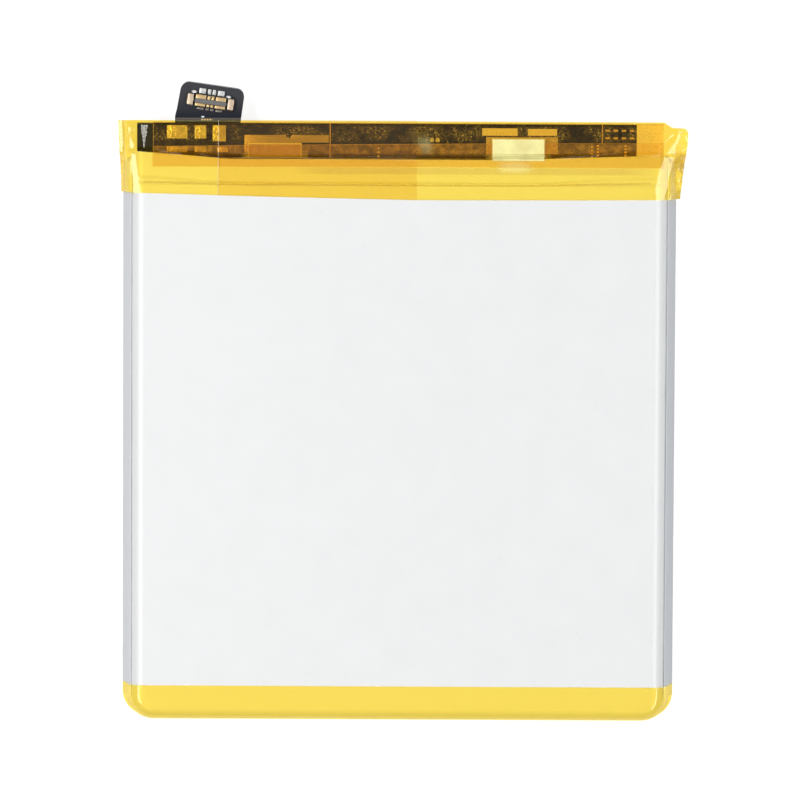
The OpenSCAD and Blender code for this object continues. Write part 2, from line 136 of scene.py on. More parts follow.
def bevelAll(piece, width, segments=2, angle=30):
    edges = piece.modifiers.new("edges", "BEVEL")
    edges.width = width * mm
    edges.segments = segments
    edges.limit_method = "ANGLE"
    edges.angle_limit = math.radians(angle)
    applyAll(piece)


def applyAll(piece):
    hold(piece)
    for modifier in list(piece.modifiers):
        bpy.ops.object.modifier_apply(modifier=modifier.name)


def cutAt(piece, axis, places):  # bisects the whole piece at each place along an axis
    hold(piece)
    bpy.ops.object.mode_set(mode="EDIT")
    normal = [0, 0, 0]
    normal["XYZ".index(axis)] = 1
    for place in places:
        bpy.ops.mesh.select_all(action="SELECT")
        bpy.ops.mesh.bisect(plane_co=[place * mm * n for n in normal], plane_no=normal, threshold=1e-7)
    bpy.ops.object.mode_set(mode="OBJECT")


def keepSide(piece, place, normal):  # cuts away what lies past a plane, and leaves it open
    hold(piece)
    bpy.ops.object.mode_set(mode="EDIT")
    bpy.ops.mesh.select_all(action="SELECT")
    bpy.ops.mesh.bisect(plane_co=Vector(place) * mm, plane_no=normal, clear_outer=True, threshold=1e-7)
    bpy.ops.object.mode_set(mode="OBJECT")


def dropPicked():  # deletes the picked faces
    bpy.ops.mesh.delete(type="FACE")
    bpy.ops.object.mode_set(mode="OBJECT")


def shape(piece, rule):  # moves each point by a rule, in millimetres
    for vertex in piece.data.vertices:
        vertex.co = Vector(rule(vertex.co / mm)) * mm
    piece.data.update()


def lay(piece, rule):  # lays a flat grid: the rule takes across and along, each from 0 to 1
    for vertex in piece.data.vertices:
        vertex.co = Vector(rule(vertex.co.x + 0.5, vertex.co.y + 0.5)) * mm
    piece.data.update()


def thicken(piece, thickness, offset):
    wall = piece.modifiers.new("wall", "SOLIDIFY")
    wall.thickness = thickness * mm
    wall.offset = offset
    wall.use_even_offset = True
    applyAll(piece)


def outward(piece):
    hold(piece)
    bpy.ops.object.mode_set(mode="EDIT")
    bpy.ops.mesh.select_all(action="SELECT")
    bpy.ops.mesh.remove_doubles(threshold=1e-7)
    bpy.ops.mesh.normals_make_consistent(inside=False)
    bpy.ops.object.mode_set(mode="OBJECT")


def joinAll(name, pieces):
    hold(pieces[0])
    for piece in pieces[1:]:
        piece.select_set(True)
    bpy.ops.object.join()
    piece = bpy.context.object
    piece.name = piece.data.name = name
    return piece


def finish(piece, body, look, replaced=(), angle=35):
    hold(piece)
    bpy.ops.object.shade_smooth_by_angle(angle=math.radians(angle))
    piece.data.materials.clear()
    piece.data.materials.append(look)
    if body:
        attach(piece, body)
    if replaced:
        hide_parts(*replaced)
    return piece


def finishFilm(piece, thickness, offset, looks, replaced=(), angle=40):
    # the outer side shines and tints, and the inner side, stuck down, is nearly clear
    piece.data.materials.clear()
    for look in looks:
        piece.data.materials.append(look)
    wall = piece.modifiers.new("wall", "SOLIDIFY")
    wall.thickness = thickness * mm
    wall.offset = offset
    wall.use_even_offset = False
    wall.material_offset = 1
    applyAll(piece)
    hold(piece)
    bpy.ops.object.shade_smooth_by_angle(angle=math.radians(angle))
    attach(piece, "cell")
    if replaced:
        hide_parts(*replaced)
    return piece


def smooth(t):
    t = max(0.0, min(1.0, t))
    return t * t * (3 - 2 * t)


def between(points, x):  # a value that follows straight stretches between (x, value) points
    if x <= points[0][0]:
        return points[0][1]
    for (x0, v0), (x1, v1) in zip(points, points[1:]):
        if x <= x1:
            return v0 + (v1 - v0) * (x - x0) / (x1 - x0)
    return points[-1][1]


def ripple(x, y, scale, seed=0.0):
    return noise.noise(Vector((x * scale, y * scale, seed)))


# ---- materials: sums on sockets, and one way to make any node ----

class Value:
    def __init__(self, look, socket):
        self.look, self.socket = look, socket

    def sum(self, operation, a, b=0.0):
        return self.look.add("ShaderNodeMath", {"operation": operation}, {0: a, 1: b})

    def __add__(self, other): return self.sum("ADD", self, other)
    def __radd__(self, other): return self.sum("ADD", other, self)
    def __sub__(self, other): return self.sum("SUBTRACT", self, other)
    def __rsub__(self, other): return self.sum("SUBTRACT", other, self)
    def __mul__(self, other): return self.sum("MULTIPLY", self, other)
    def __rmul__(self, other): return self.sum("MULTIPLY", other, self)
    def __truediv__(self, other): return self.sum("DIVIDE", self, other)
    def __abs__(self): return self.sum("ABSOLUTE", self)
    def lower(self, other): return self.sum("MINIMUM", self, other)
    def higher(self, other): return self.sum("MAXIMUM", self, other)
    def clipped(self): return self.higher(0.0).lower(1.0)


class Look:
    def __init__(self, name, colour, roughness, **sockets):
        self.material = bpy.data.materials.new(name)
        self.material.use_nodes = True
        self.tree = self.material.node_tree
        self.shader = self.tree.nodes["Principled BSDF"]
        self.set("Base Color", colour)
        self.set("Roughness", roughness)
        for key, value in sockets.items():
            self.set(key.replace("_", " "), value)

    def put(self, socket, value):  # links a value, or sets a constant
        if isinstance(value, Value):
            self.tree.links.new(value.socket, socket)
        elif isinstance(value, (tuple, list)) and len(value) == 3 and socket.type == "RGBA":
            socket.default_value = (*value, 1.0)
        else:
            socket.default_value = value

    def set(self, name, value):
        self.put(self.shader.inputs[name], value)

    def add(self, kind, settings=None, sockets=None, out=0):
        node = self.tree.nodes.new(kind)
        for key, value in (settings or {}).items():
            setattr(node, key, value)
        for key, value in (sockets or {}).items():
            self.put(node.inputs[key], value)
        return Value(self, node.outputs[out])

    def place(self):  # object coordinates in millimetres
        coords = self.add("ShaderNodeTexCoord", out=3)   # the Object socket
        return self.add("ShaderNodeVectorMath", {"operation": "SCALE"}, {0: coords, 3: 1 / mm})

    def axes(self):
        node = self.add("ShaderNodeSeparateXYZ", sockets={0: self.place()}).socket.node
        return [Value(self, output) for output in node.outputs]

    def grain(self, scale, detail=3.0, rough=0.5, place=None):
        return self.add("ShaderNodeTexNoise", None, {"Vector": place or self.place(), "Scale": scale,
                                                     "Detail": detail, "Roughness": rough})

    def stretched(self, x, y, z, shift=0.0):
        return self.add("ShaderNodeMapping", None, {
            "Vector": self.place(), "Location": (shift, shift, 0.0), "Scale": (x, y, z)})

    def mix(self, factor, a, b):
        return self.add("ShaderNodeMix", {"data_type": "RGBA"}, {0: factor, 6: a, 7: b}, 2)

    def show(self, surface):  # the shader that the surface shows, where it isn't the plain one
        self.tree.links.new(surface.socket, self.tree.nodes["Material Output"].inputs["Surface"])

    def bump(self, height, strength, distance=0.02):
        self.set("Normal", self.add("ShaderNodeBump", None, {"Height": height, "Strength": strength,
                                                             "Distance": distance * mm}))

    def sine(self, value):
        return value.sum("SINE", value)

    def band(self, value, low, high, soft=0.03):  # 1 between low and high, 0 outside
        return ((value - low) / soft).clipped() * ((high - value) / soft).clipped()


stackEnd = stackHigh.y - 0.05   # where the coated sheets end and the face starts to sink
tapeEnds = (tailHigh.y, 26.88)  # the laminate past these lies under the tapes, and there it is painted brighter: painted light that makes up for what the films take
beyond = 60     # past any edge of the cell


def laminateLook(name, colour, depth, litUnderTapes=(0.955, 0.965, 0.97)):
    look = Look(name, colour, 0.48, Metallic=0.15)
    cloud = look.grain(0.35, 4.0)
    fine = look.grain(9.0, 3.0, 0.6)
    shade = tuple(channel * 0.955 for channel in colour)
    bare = look.mix((cloud * 0.6 + fine * 0.4 - 0.25).clipped(), shade, colour)
    x, y, z = look.axes()
    tail, head = tapeEnds
    # under the tapes the laminate is painted brighter: painted light
    stuck = look.band(y - (x * -0.02).higher(0.0), head, beyond) + look.band(y, -beyond, tail)
    litWhereTaped = look.mix(stuck, bare, litUnderTapes)
    scuffs = (look.grain(1.9, 2.0, 0.5) - 0.735).clipped() * 9.0
    look.set("Base Color", look.mix(scuffs.clipped() * 0.35, litWhereTaped, (0.5, 0.51, 0.52)))
    look.set("Roughness", 0.42 + cloud * 0.1 + fine * 0.05)
    rolled = look.grain(1.0, 2.0, 0.5, look.stretched(6.0, 0.35, 6.0))
    look.bump(fine * 0.5 + rolled * 0.5 + cloud * 0.8, depth)
    return look.material


def filmLook(name, seed, haze=0.006, cutEdge=None, deep=(1.0, 0.875, 0.33),
             dustAndShadeColour=(1.0, 0.7, 0.2), marks=None, shine=1.0, paintedLightColour=(1.0, 0.94, 0.4)):
    # clear amber film: light comes through coloured, and the surface is glossy with a little haze
    look = Look(name, (1.0, 0.98, 0.92), 0.07, Metallic=1.0)
    x, y, z = look.axes()
    wave = look.grain(1.0, 3.0, 0.5, look.stretched(0.22, 0.9, 0.6, seed))
    fine = look.grain(5.0, 2.0)
    look.bump(wave * 0.9 + fine * 0.1, 0.16, 0.05)
    look.set("Roughness", 0.06 + fine * 0.08)
    paintedLight = 0.0
    if marks:
        marked, paintedLight = marks(look, x, y, z)
    # a pale painted highlight along the film's cut edge
    cutEdgeHighlight = look.band(x, cutEdge - 0.06, cutEdge + 0.06, 0.03) if cutEdge is not None else 0.0
    clear = look.add("ShaderNodeBsdfTransparent", None, {"Color": (*deep, 1.0)})
    # the diffuse dust shows haze and glue, and also the marks' painted highlights and painted shade
    dust = look.add("ShaderNodeBsdfPrincipled", None, {"Roughness": 0.5, "Base Color": look.mix(
        paintedLight, look.mix(cutEdgeHighlight, dustAndShadeColour, (1.0, 1.0, 0.8)), paintedLightColour)})
    gloss = look.add("ShaderNodeFresnel", None, {"IOR": 1.52}) - 0.004
    hazeAndPaintedLight = haze + (look.grain(1.6, 4.0, 0.6) - 0.5).clipped() * haze * 1.5
    if cutEdge is not None:
        hazeAndPaintedLight = hazeAndPaintedLight + cutEdgeHighlight * 0.6
    if marks:
        hazeAndPaintedLight = hazeAndPaintedLight + marked
    body = look.add("ShaderNodeMixShader", None, {0: hazeAndPaintedLight.clipped(), 1: clear, 2: dust})
    mirror = Value(look, look.shader.outputs[0])
    whole = look.add("ShaderNodeMixShader", None, {
        0: gloss.clipped().lower(0.08) * shine, 1: body, 2: mirror})
    look.show(whole)
    return look.material


def innerLook(name):
    look = Look(name, (1.0, 0.9, 0.5), 0.4)
    clear = look.add("ShaderNodeBsdfTransparent", None, {"Color": (1.0, 0.99, 0.97, 1.0)})
    dust = look.add("ShaderNodeBsdfPrincipled", None, {
        "Base Color": (1.0, 0.78, 0.2, 1.0), "Roughness": 0.6})
    specks = (look.grain(3.0) - 0.68).clipped() * 0.4
    whole = look.add("ShaderNodeMixShader", None, {0: specks, 1: clear, 2: dust})
    look.show(whole)
    return look.material


def metalLook(name, colour, roughness, scale=6.0, wear=0.25, depth=0.2, metallic=0.6, relief=0.01):
    look = Look(name, colour, roughness, Metallic=metallic)
    patch = look.grain(scale, 4.0, 0.6)
    dull = tuple(c * (1 - wear) for c in colour)
    look.set("Base Color", look.mix((patch * 1.6 - 0.4).clipped(), colour, dull))
    look.set("Roughness", roughness * 0.7 + patch * roughness * 0.6)
    look.bump(look.grain(scale * 3, 2.0), depth, relief)
    return look.material


def plainLook(name, colour, roughness, scale=4.0, depth=0.3, spread=0.25):
    look = Look(name, colour, roughness)
    patch = look.grain(scale, 4.0, 0.6)
    light = tuple(min(1.0, c * (1 + spread) + 0.004) for c in colour)
    look.set("Base Color", look.mix(patch, colour, light))
    look.set("Roughness", roughness * 0.8 + patch * roughness * 0.4)
    look.bump(look.grain(scale * 5, 3.0), depth, 0.01)
    return look.material


laminate = laminateLook("laminate", (0.842, 0.85, 0.854), 0.12)
# The side folds are painted darker greys than the face, the right one darker still: painted shade.
leftFoldShadedLook = laminateLook("laminateLeftFoldShaded", (0.61, 0.625, 0.655), 0.2)
rightFoldShadedLook = laminateLook("laminateRightFoldShaded", (0.52, 0.54, 0.575), 0.2)
nickel = metalLook("nickel", (0.62, 0.5, 0.38), 0.32)
copper = metalLook("copper", (0.78, 0.42, 0.24), 0.35)
bareAluminium = metalLook("bareAluminium", (0.88, 0.88, 0.89), 0.35)
gold = metalLook("gold", (1.0, 0.7, 0.34), 0.25, 8.0, 0.12)
longPad = metalLook("longPad", (1.0, 0.88, 0.6), 0.3, 3.0, 0.2, 0.6, 0.2)
padGold = metalLook("padGold", (1.0, 0.92, 0.6), 0.24, 1.0, 0.7, 1.0, 0.35, 0.09)


def negativeLook():  # the tab's bent edges get a painted highlight
    look = Look("negativeTab", (0.6, 0.42, 0.26), 0.3, Metallic=0.25)
    x, y, z = look.axes()
    low, high = boxOf("negative_tab")
    # a pale painted highlight along the top edge and both sides
    rim = look.band(y, high.y - 0.16, high.y + 1) + look.band(x, low.x - 1, low.x + 0.12)
    rim = rim + look.band(x, high.x - 0.12, high.x + 1)
    dull = look.grain(2.5, 4.0, 0.6)
    body = look.mix(dull, (0.5, 0.39, 0.24), (0.66, 0.52, 0.34))
    look.set("Base Color", look.mix(rim.clipped(), body, (1.0, 0.95, 0.7)))
    look.set("Roughness", 0.22 + dull * 0.2)
    look.bump(dull + look.grain(7.0), 0.3, 0.02)
    return look.material


def gaugeLook():  # a dark chip with gold feet along its two short sides
    look = Look("gaugeBrown", (0.03, 0.02, 0.012), 0.4)
    x, y, z = look.axes()
    low, high = boxOf("gauge_chip")
    sides = look.band(x, low.x, low.x + 0.3, 0.04) + look.band(x, high.x - 0.3, high.x, 0.04)
    feet = sides.clipped() * (look.sine(y * 18.0) * 4.0 + 1.0).clipped()
    patch = look.grain(3.0, 4.0, 0.6)
    body = look.mix(patch, (0.016, 0.01, 0.006), (0.05, 0.03, 0.018))
    look.set("Base Color", look.mix(feet, body, (1.0, 0.7, 0.3)))
    look.set("Roughness", 0.3 + patch * 0.2)
    look.bump(patch + look.grain(15.0), 0.3, 0.01)
    return look.material


negativeTab = negativeLook()
brightTab = metalLook("brightTab", (1.0, 0.96, 0.86), 0.3, 3.0, 0.1, 0.3, 0.1)
anchorTan = metalLook("anchorTan", (0.8, 0.62, 0.45), 0.38, 12.0, 0.3, 0.5)
solder = metalLook("solder", (0.97, 0.97, 0.96), 0.2, 5.0, 0.3, 0.6, 0.35)
graphite = plainLook("graphite", (0.05, 0.05, 0.055), 0.8)
oxide = plainLook("oxide", (0.03, 0.03, 0.035), 0.75)
separatorWhite = plainLook("separatorWhite", (0.9, 0.9, 0.9), 0.5)
fixGreen = plainLook("fixGreen", (0.08, 0.42, 0.28), 0.35)
milky = plainLook("milky", (0.85, 0.87, 0.88), 0.4)
chipBlack = plainLook("chipBlack", (0.018, 0.017, 0.017), 0.35, 6.0, 0.3, 0.6)
chipBrown = plainLook("chipBrown", (0.16, 0.1, 0.06), 0.5, 5.0)
gaugeBrown = gaugeLook()
chipCream = plainLook("chipCream", (0.8, 0.74, 0.6), 0.45)
resinBlack = plainLook("resinBlack", (0.012, 0.012, 0.014), 0.42, 7.0)
ribGrey = plainLook("ribGrey", (0.14, 0.135, 0.13), 0.7, 6.0)
stripBlack = plainLook("stripBlack", (0.01, 0.011, 0.011), 0.12, 1.2, 0.12, 0.3)
steel = metalLook("steel", (0.56, 0.56, 0.57), 0.35)


goldLines = ((-7.85, -7.72), (22.5, 22.62))     # bare lines across the board


def boardLook():
    look = Look("boardMask", (0.02, 0.016, 0.013), 0.3)
    look.set("Specular IOR Level", 0.15)
    x, y, z = look.axes()
    blotch = look.grain(1.6, 4.0, 0.6)
    traces = look.grain(1.0, 0.0, 0.5, look.stretched(0.9, 3.2, 1.0))
    route = look.band(traces, 0.47, 0.5, 0.01)
    lines = look.band(x, *goldLines[0]) + look.band(x, *goldLines[1])
    brown = look.mix(blotch, (0.003, 0.003, 0.006), (0.018, 0.012, 0.014))
    look.set("Base Color", look.mix((route * 0.15 + lines).clipped(), brown, (0.75, 0.5, 0.2)))
    look.set("Metallic", (lines * 0.8).clipped())
    look.set("Roughness", 0.35 + blotch * 0.2)
    look.bump(blotch + route * 0.8, 0.5, 0.03)
    return look.material


boardMask = boardLook()


# Where the films are marked, with glue, painted highlights and painted shade: each is (from, to, softness)
# across or along the cell.
spots = {
    "blotsAlong": (31.6, 33.4, 0.5), "holdEdgeAlong": (32.93, 33.02), "holdEdgeSlant": 0.0107,
    "specksAlong": (33.2, 35.1, 0.3), "hairAcross": (1.2, 9.0, 0.8),
    "glareAcross": (10.25, 16.15, 0.12), "glareAlong": (31.15, 33.65, 0.12), "dotsPerMm": 15.7,
    "glareSpillAcross": (10.4, 15.2, 1.6), "glareSpillAlong": (29.7, 31.5, 0.9),
    "glareStreakAcross": (11.3, 13.9, 0.9), "glareStreakAlong": (31.2, 34.4, 0.9), "glareStreakSlant": 0.3,
    "shadeBandAcross": (-12, 29, 4.0), "shadeBandAlong": (29.63, 30.42, 0.06),
    "creaseAcross": (-28.8, 28.2, 0.5), "creaseMiddle": 1.5, "creaseStraight": 16, "creaseSlant": 0.02,
    "rightEarAcross": (30.1, 33, 0.3), "rightEarAlong": (26, 32.4, 0.5), "leftEarAcross": (-33, -30.7, 0.1),
}


def holdMarks(look, x, y, z):  # thicker glue in blots, and the strip's far edge
    blots = (look.grain(1.3, 5.0, 0.7) - 0.4).clipped() * 1.1
    slant = y - x * spots["holdEdgeSlant"]
    overBoard = look.band(y, *spots["blotsAlong"])
    return (blots + 0.06) * overBoard + look.band(slant, *spots["holdEdgeAlong"]) * 0.3, 0.0


def wrapMarks(look, x, y, z):  # glue specks, creases, and a painted shade line where it bends over the board's edge
    specks = (look.grain(5.0, 6.0, 0.85) - 0.5).clipped() * 6.0
    cluster = (look.grain(0.45, 3.0, 0.6) - 0.42).clipped() * 7.0
    upper = look.band(y, *spots["specksAlong"]) * 0.75 + 0.25
    creases = abs(look.grain(1.0, 2.0, 0.5, look.stretched(1.1, 0.5, 1.0)) - 0.5)
    hair = look.band(creases, -0.1, 0.006, 0.004) * look.band(x, *spots["hairAcross"]) * 0.4
    rim = look.band(x, wrapLow.x, wrapLow.x + 0.12) * 0.3
    high = look.band(z, wrapHigh.z - 0.7, wrapHigh.z + 1, 0.3)
    bendShade = look.band(y, boardHigh.y - 0.02, headHigh.y + 1, 0.04) * high
    speckled = specks.clipped() * cluster.clipped() * upper * 0.75
    return (speckled + hair + rim + bendShade * 0.4).clipped(), bendShade


def headMarks(look, x, y, z):
    # painted highlights: a pale glare over the positive tab, its spill below it, a patchy streak across it,
    # and a pale lip along the far edge
    patchy = (look.grain(0.45, 2.0, 0.5) - 0.3).clipped() * 2.0
    dots = look.sine(x * spots["dotsPerMm"]) * look.sine(y * spots["dotsPerMm"])
    tabGlare = look.band(x, *spots["glareAcross"]) * look.band(y, *spots["glareAlong"]) * (
        0.72 + patchy * 0.35 + dots * 0.05)
    glareSpill = look.band(x, *spots["glareSpillAcross"]) * look.band(y, *spots["glareSpillAlong"]) * 0.3
    slant = x + y * spots["glareStreakSlant"]
    glareStreak = look.band(slant, *spots["glareStreakAcross"]) * look.band(y, *spots["glareStreakAlong"]) * patchy * 0.2
    high = look.band(z, wrapHigh.z - 0.5, wrapHigh.z + 1, 0.2)
    # the pale lip where the film turns over the far edge is a painted highlight
    lip = look.band(y, headHigh.y - 0.08, headHigh.y + 1, 0.04) * high
    paintedLight = (tabGlare + glareSpill + glareStreak + lip * 0.4).clipped()
    # painted shade in duller bands: beside the strip, in the crease over the stack's end, and on the
    # crumpled ears
    paintedShade = look.band(y, *spots["shadeBandAlong"]) * look.band(x, *spots["shadeBandAcross"]) * 0.2
    fromMiddle = abs(x + spots["creaseMiddle"]) - spots["creaseStraight"]
    bowed = y - fromMiddle.higher(0.0) * spots["creaseSlant"]
    crease = look.band(bowed, stackEnd - 0.24, stackEnd + 0.1, 0.12)
    paintedShade = paintedShade + crease * look.band(x, *spots["creaseAcross"]) * 0.24
    wrinkled = ((look.grain(0.75, 1.0, 0.5) - 0.4) * 4.0).clipped()
    rightEar = look.band(x, *spots["rightEarAcross"]) * look.band(y, *spots["rightEarAlong"])
    paintedShade = paintedShade + rightEar * wrinkled * 0.45
    paintedShade = paintedShade + look.band(x, *spots["leftEarAcross"]) * 0.2
    return paintedLight + paintedShade, (paintedLight * 8.0).clipped()


headFilm = filmLook("headFilm", 3.0, dustAndShadeColour=(0.7, 0.48, 0.08), marks=headMarks)
patchFilm = filmLook("patchFilm", 11.0, 0.004, patchLow.x, (1.0, 0.95, 0.82))
holdFilm = filmLook("holdFilm", 23.0, 0.09, None, (0.97, 0.88, 0.7), (0.85, 0.47, 0.2), holdMarks, 0.3)
wrapFilm = filmLook("wrapFilm", 31.0, 0.004, None, (0.985, 0.9, 0.76), (0.9, 0.66, 0.4),
                    wrapMarks, 0.3, (0.14, 0.12, 0.05))
tailFilm = filmLook("tailFilm", 43.0)
filmInside = innerLook("filmInside")
print("materials made")


# ---- the pouch ----

pouch = {
    "wall": 0.15,
    "sideRound": 1.25, "headRound": 0.2, "tailCorner": 2.5,
    "taper": 0.974,
    "grooveDepth": 0.2, "grooveHalf": 0.13, "grooveMiddle": 1.5,
    "slopeStart": 29.6, "slopeLength": 1.4, "slopeDrop": 0.1,
    "flapRound": 0.85, "flapDepth": 0.6, "flapDroop": 0.25, "sinkDepth": 1.4,
    "leftFlap": (-19.5, 0.86), "rightFlap": (13.0, 0.6),
}
headEdgeY = cupHigh.y - 0.3     # the head wall, behind the seal that stands against it
faceZ = cupHigh.z


def flapReach(x):  # how far the folded corners of the pouch reach past the head wall
    left, leftMost = pouch["leftFlap"]
    right, rightMost = pouch["rightFlap"]
    if x < left:
        return leftMost * ((left - x) / (cupHigh.x + left)) ** pouch["flapRound"]
    if x > right:
        return rightMost * ((x - right) / (cupHigh.x - right)) ** pouch["flapRound"]
    return 0.0


def faceSink(x, y):  # how far the face lies under its highest level
    fromMiddle = abs(x + pouch["grooveMiddle"])     # the groove widens and bows towards its ends
    wide = pouch["grooveHalf"] * (1 + 2.4 * smooth((fromMiddle - 19) / 9))
    bow = 0.35 * smooth((fromMiddle - 16) / 12)
    groove = pouch["grooveDepth"] * math.exp(-((y - stackEnd - bow) / wide) ** 2)
    slope = pouch["slopeDrop"] * smooth((y - pouch["slopeStart"]) / pouch["slopeLength"])
    pillow = 0.02 * ripple(x, y, 0.12) + 0.006 * ripple(x, y, 0.7, 3.0)
    return groove + slope - pillow + 0.02


def makePouchShell():
    piece = newBox("pouchShell", (cupLow.x, cupLow.y, cupLow.z), (cupHigh.x, headEdgeY, faceZ))
    pick(piece, "VERT", lambda p: p.z > faceZ - 0.1)
    bpy.ops.transform.resize(value=(pouch["taper"], 1, 1), center_override=(0, 0, faceZ * mm))
    pick(piece, "EDGE", lambda a, b: max(a.y, b.y) < cupLow.y + 0.1 and abs(a.z - b.z) > 1)
    bevelPicked(pouch["tailCorner"], 10)
    isTop = lambda a, b: min(a.z, b.z) > faceZ - 0.01
    pick(piece, "EDGE", lambda a, b: isTop(a, b) and min(a.y, b.y) < headEdgeY - 0.1)
    bevelPicked(pouch["sideRound"], 9)
    pick(piece, "EDGE", lambda a, b: isTop(a, b) and min(a.y, b.y) > headEdgeY - 0.01)
    bevelPicked(pouch["headRound"], 5)
    pick(piece, "FACE", lambda c, n: n.z < -0.9)
    dropPicked()
    cutAt(piece, "X", [-29, -28.4] + [1.25 * i for i in range(-22, 23)] + [28.4, 29])
    cutAt(piece, "Y", list(range(-30, 27, 3)) + [stackEnd - 0.42 + 0.06 * i for i in range(22)]
          + [29.3, 29.6, 30.0, 30.4, 30.8])

    def settle(p):
        x, y, z = p
        if z > faceZ - pouch["sinkDepth"]:
            weight = smooth((z - (faceZ - pouch["sinkDepth"])) / 1.2)
            z -= faceSink(x, y) * weight
            flapStart = headEdgeY - pouch["flapDepth"]
            if y > flapStart and z > faceZ - 0.9:
                rise = smooth((y - flapStart) / pouch["flapDepth"])
                y += flapReach(x) * rise
                z -= pouch["flapDroop"] * flapReach(x) * rise
        return x, y, z
    shape(piece, settle)
    thicken(piece, pouch["wall"], -1.0)
    return finish(piece, "cell", laminate, ["pouch_cup"], 50)


makePouchShell()


def makeHeadSeal():  # both films of the head seal, folded up against the head wall
    reach = cupHigh.x - 2
    piece = newBox("headSeal", (-reach, headEdgeY + 0.02, cupLow.z), (reach, cupHigh.y, boardLow.z - 0.1))
    cutAt(piece, "X", [x * 1.5 for x in range(-19, 20)])
    shape(piece, lambda p: (p.x, p.y, p.z + (0.05 * ripple(p.x, 0, 0.5) if p.z > 1 else 0)))
    bevelAll(piece, 0.05)
    return finish(piece, "cell", laminate)


makeHeadSeal()

fold = {"height": 3.7, "foot": 0.8, "taper": 0.08, "round": 0.12}


def makeSideFold(name, side, node, look):
    low, high = boxOf(node)
    outer = high.x if side > 0 else -low.x
    inner = cupHigh.x - 0.01
    piece = newBox(name, (inner, cupLow.y + pouch["tailCorner"], low.z), (outer, high.y, fold["height"]))
    lean = (cupHigh.x - cupHigh.x * pouch["taper"]) / (faceZ - cupLow.z)
    cutAt(piece, "Z", [fold["foot"]])
    cutAt(piece, "Y", [y * 2.0 for y in range(-15, 16)])

    def settle(p):
        x, y, z = p
        rise = z - low.z
        x -= rise * (lean if x < (inner + outer) / 2 else lean + fold["taper"])
        x += 0.015 * ripple(y, z, 0.3, side * 5.0)
        z += 0.04 * ripple(y, 0.0, 0.25, side * 9.0) if z > 1 else 0
        return x, y, z
    shape(piece, settle)
    pick(piece, "EDGE", lambda a, b: min(a.x, b.x) > inner - 0.2 and abs(a.x - b.x) < 0.1
         and min(a.z, b.z) > fold["height"] - 0.1)
    bevelPicked(fold["round"], 4)
    if side < 0:
        hold(piece)
        bpy.ops.transform.mirror(constraint_axis=(True, False, False), center_override=(0, 0, 0))
        bpy.ops.object.transform_apply(location=True, rotation=True, scale=True)
        outward(piece)
    return finish(piece, "cell", look, [node])


makeSideFold("rightFold", 1, "right_side_seal", rightFoldShadedLook)
makeSideFold("leftFold", -1, "left_side_seal", leftFoldShadedLook)
print("pouch made")


# ---- amber films ----

film = {"thick": 0.06, "gap": 0.02, "stepBefore": 0.19, "stepAfter": 0.55, "stepDip": 0.1,
        "farRound": 0.62, "farDrop": 0.3}
bayZ = wrapHigh.z + 0.01        # top of the tape round the board
endY = headHigh.y


def paneHeight(x, y, lift):  # inner face of a film that lies over the cell's face and down to the board
    y = y - flapReach(x) * smooth((y - 30.0) / 1.2)
    onFace = faceZ + film["gap"] + lift
    onBoard = bayZ + lift
    if y < headEdgeY - film["stepBefore"]:
        return onFace - faceSink(x, y) * 0.9
    if y < headEdgeY + film["stepAfter"]:
        t = (y - headEdgeY + film["stepBefore"]) / (film["stepBefore"] + film["stepAfter"])
        return onFace - film["stepDip"] + (onBoard - onFace + film["stepDip"]) * smooth(t)
    return onBoard


def makeHoldFilm():
    x0, x1 = holdLow.x, holdHigh.x

    def rule(u, v):
        x = x0 + (x1 - x0) * u
        near = between([(x0, 30.4), (0, 30.5), (x1, 30.45)], x)
        far = between([(x0, 32.66), (0, 33.03), (x1, 33.27)], x)
        y = near + (far - near) * v
        return x, y, paneHeight(x, y, 0.0)
    piece = newSheet("holdFilm", 90, 30)
    lay(piece, rule)
    return finishFilm(piece, film["thick"], 1.0, (holdFilm, filmInside), ["board_hold_tape"], 60)


makeHoldFilm()


def slopeDown(y, top, start, end, drop):
    return top - drop * smooth((y - start) / (end - start)) if y > start else top


def makeWrapFilm():  # over the board's parts, down the board's far edge and back under it
    x0, x1 = wrapLow.x, wrapHigh.x
    top, foot = wrapHigh.z - film["thick"], wrapLow.z
    near, far = wrapLow.y, wrapHigh.y - film["thick"]
    path = [(near + d, top) for d in (0, 0.6, 1.4, 2.2)]
    path += [(far - 0.42, top), (far - 0.2, top - 0.06), (far - 0.05, top - 0.18), (far, top - 0.4)]
    path += [(far, z) for z in (2.2, 1.2, 0.6)] + [(far - 0.1, foot + 0.12)]
    path += [(y, foot + 0.06) for y in (far - 0.3, near + 1.5, near)]

    def rule(u, v):
        place = v * (len(path) - 1)
        i = min(int(place), len(path) - 2)
        t = place - i
        y = path[i][0] + (path[i + 1][0] - path[i][0]) * t
        z = path[i][1] + (path[i + 1][1] - path[i][1]) * t
        return x0 + (x1 - x0) * u, y, z
    piece = newSheet("wrapFilm", 60, len(path) - 1)
    lay(piece, rule)
    outward(piece)
    return finishFilm(piece, film["thick"], 1.0, (wrapFilm, filmInside), ["board_wrap_tape"], 60)


makeWrapFilm()

